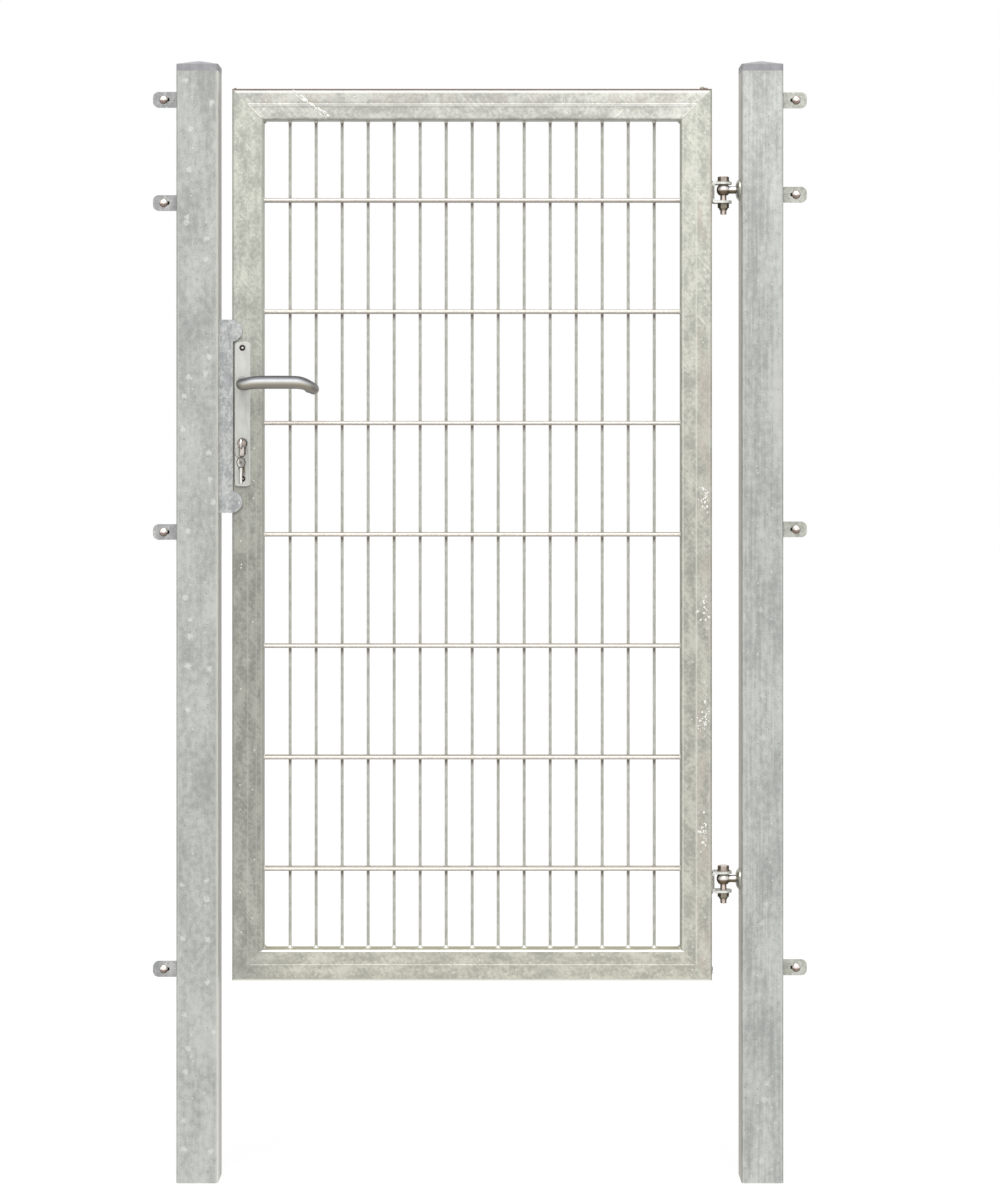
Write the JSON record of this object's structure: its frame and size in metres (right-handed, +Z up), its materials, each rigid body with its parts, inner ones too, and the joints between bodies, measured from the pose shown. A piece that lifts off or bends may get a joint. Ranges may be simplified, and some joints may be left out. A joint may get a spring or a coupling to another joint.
{
  "type": "mesh fence gate",
  "caption": "Galvanised single-leaf fence gate: square posts, mitred tube leaf with welded wire mat, adjustable eye-bolt hinges and a keyed lever lock.",
  "frame": {"origin": "midway between the two posts, level with their feet, on the leaf's middle plane", "axes": "+X from the latch post to the hinge post, +Y to the side that the leaf opens to, +Z up"},
  "size_m": [1.254, 0.188, 2.1475],
  "materials": {
    "post_zinc": "hot-dip galvanised, matte",
    "cap_plastic": "moulded grey, matte",
    "leaf_zinc": "hot-dip galvanised, matte",
    "mat_zinc": "hot-dip galvanised, matte",
    "flat_zinc": "hot-dip galvanised, matte",
    "bolt_zinc": "zinc plated, bright",
    "lever_aluminium": "satin anodised",
    "plate_aluminium": "satin anodised",
    "bush_plastic": "moulded grey",
    "screw_steel": "zinc plated, bright",
    "lock_steel": "zinc plated",
    "cylinder_brass": "matte nickel plated",
    "key_brass": "nickel plated",
    "ring_steel": "nickel plated"
  },
  "bodies": {
    "posts": {"latch_post": "post_zinc", "hinge_post": "post_zinc", "latch_post_cap": "cap_plastic", "hinge_post_cap": "cap_plastic", "latch_lug_1": "flat_zinc", "latch_lug_2": "flat_zinc", "latch_lug_3": "flat_zinc", "latch_lug_4": "flat_zinc", "hinge_lug_1": "flat_zinc", "hinge_lug_2": "flat_zinc", "hinge_lug_3": "flat_zinc", "hinge_lug_4": "flat_zinc", "lug_bolts": "bolt_zinc", "lug_washers": "bolt_zinc", "lug_nuts": "bolt_zinc", "stop_plate": "flat_zinc", "strike_box": "flat_zinc", "upper_eye_bolt": "bolt_zinc", "lower_eye_bolt": "bolt_zinc", "eye_washers": "bolt_zinc", "eye_nuts": "bolt_zinc"},
    "leaf": {"lock_stile": "leaf_zinc", "hinge_stile": "leaf_zinc", "top_rail": "leaf_zinc", "bottom_rail": "leaf_zinc", "upright_wires": "mat_zinc", "front_rods": "mat_zinc", "rear_rods": "mat_zinc", "upper_hinge_bracket": "flat_zinc", "lower_hinge_bracket": "flat_zinc", "upper_hinge_bolt": "bolt_zinc", "lower_hinge_bolt": "bolt_zinc", "hinge_washers": "bolt_zinc", "hinge_nuts": "bolt_zinc", "front_lock_plate": "plate_aluminium", "rear_lock_plate": "plate_aluminium", "plate_screws": "screw_steel", "plate_sleeves": "screw_steel", "lever_bushes": "bush_plastic", "lock_case": "lock_steel", "lock_cover": "lock_steel", "forend": "lock_steel", "forend_screws": "screw_steel", "cylinder_body": "cylinder_brass", "cylinder_screw": "screw_steel", "rear_plug": "cylinder_brass", "latch_spring": "lock_steel"},
    "lever_set": {"front_lever": "lever_aluminium", "rear_lever": "lever_aluminium", "spindle": "lock_steel", "follower": "lock_steel", "lever_set_screws": "screw_steel"},
    "latch": {"latch_bolt": "lock_steel"},
    "bolt": {"deadbolt": "lock_steel"},
    "key_set": {"front_plug": "cylinder_brass", "cylinder_cam": "cylinder_brass", "key": "key_brass"},
    "key_bunch": {"key_ring": "ring_steel", "spare_key": "key_brass"}
  },
  "joints": [
    {"name": "gate_swing", "type": "hinge", "parent": "posts", "child": "leaf", "pos_m": [0.468, 0, 1.238], "axis": [0, 0, -1], "range_deg": [0, 100]},
    {"name": "handle_turn", "type": "hinge", "parent": "leaf", "child": "lever_set", "pos_m": [-0.455, 0, 1.529], "axis": [0, 1, 0], "range_deg": [0, 35], "stiffness_Nm_per_rad": 1.5, "springref_deg": -28.65},
    {"name": "latch_slide", "type": "slide", "parent": "leaf", "child": "latch", "axis": [1, 0, 0], "range_m": [0, 0.0115], "deforming": ["latch_spring"]},
    {"name": "key_turn", "type": "hinge", "parent": "leaf", "child": "key_set", "pos_m": [-0.455, 0, 1.413], "axis": [0, -1, 0], "range_deg": [0, 360]},
    {"name": "deadbolt_slide", "type": "slide", "parent": "leaf", "child": "bolt", "axis": [-1, 0, 0], "range_m": [0, 0.02]},
    {"name": "ring_swing", "type": "hinge", "parent": "key_set", "child": "key_bunch", "pos_m": [-0.455, -0.0521, 1.4106], "axis": [0.887, 0.4617, 0], "range_deg": [-45, 15]}
  ],
  "couplings": [
    {"joint": "latch_slide", "follows": "handle_turn", "m_per_rad": 0.0188},
    {"joint": "deadbolt_slide", "follows": "key_turn", "m_per_rad": 0.00318}
  ]
}
